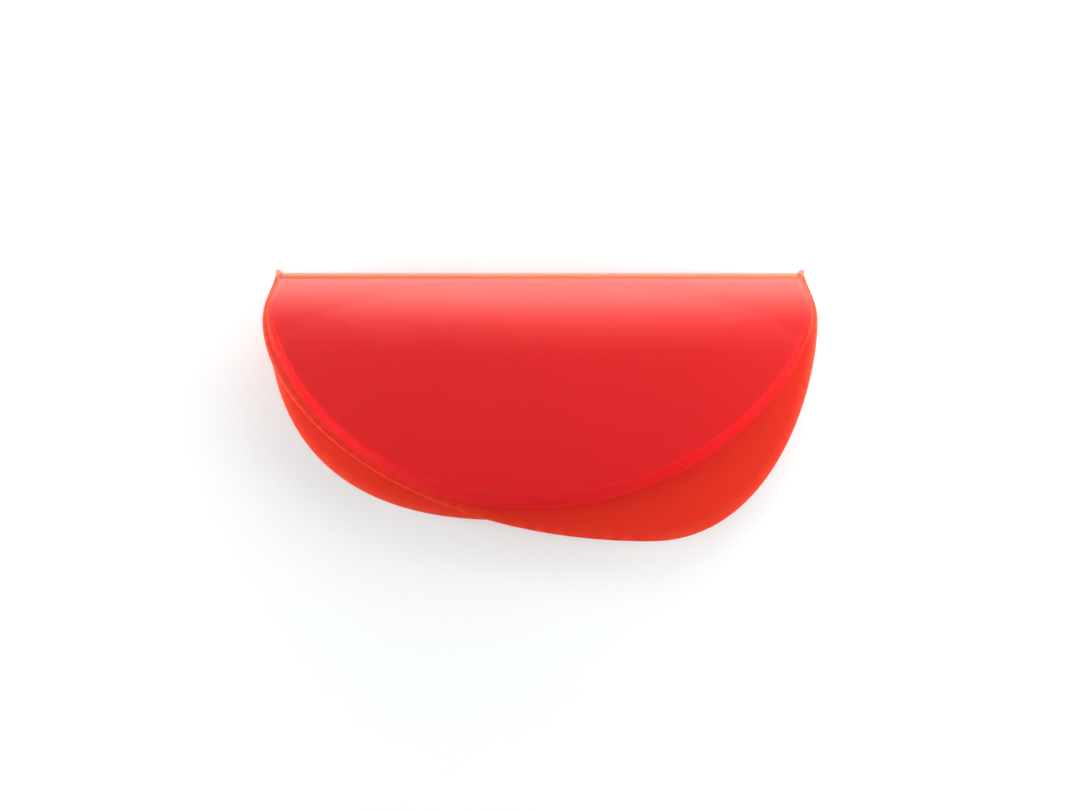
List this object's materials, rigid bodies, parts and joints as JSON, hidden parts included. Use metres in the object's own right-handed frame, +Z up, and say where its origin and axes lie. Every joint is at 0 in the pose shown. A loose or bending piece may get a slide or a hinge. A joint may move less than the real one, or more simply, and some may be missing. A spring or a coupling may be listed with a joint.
{
  "type": "folding silicone cooking pouch",
  "caption": "Half-moon silicone cooking pouch: two shallow bowls with flat brims and grip tabs, joined by a living hinge along the straight edge.",
  "frame": {"origin": "centre of the bounding box at the underside of the lower bowl, on the surface it lies on, pouch closed", "axes": "+X along the hinge towards the end that the upper grip tab is nearer, +Y from the front towards the hinge, +Z up"},
  "size_m": [0.23, 0.1128, 0.0363],
  "materials": {
    "bowl_silicone": "satin deep red silicone",
    "brim_silicone": "satin orange-red silicone, one layer thick",
    "hinge_silicone": "satin light red silicone, thin web"
  },
  "bodies": {
    "lower_half": {"lower_floor": "bowl_silicone", "lower_wall": "bowl_silicone", "lower_brim": "brim_silicone", "lower_grip_tab": "brim_silicone"},
    "hinge": {"hinge_web": "hinge_silicone", "hinge_ear_left": "hinge_silicone", "hinge_ear_right": "hinge_silicone"},
    "upper_half": {"upper_panel": "bowl_silicone", "upper_wall": "bowl_silicone", "upper_brim": "brim_silicone", "upper_grip_tab": "brim_silicone"}
  },
  "joints": [
    {"name": "lower_fold", "type": "hinge", "parent": "lower_half", "child": "hinge", "pos_m": [0, 0.05445, 0.01665], "axis": [-1, 0, 0], "range_deg": [0, 90]},
    {"name": "upper_fold", "type": "hinge", "parent": "hinge", "child": "upper_half", "pos_m": [0, 0.05445, 0.01965], "axis": [-1, 0, 0], "range_deg": [0, 90]}
  ],
  "couplings": [
    {"joint": "upper_fold", "follows": "lower_fold", "ratio": 1}
  ]
}
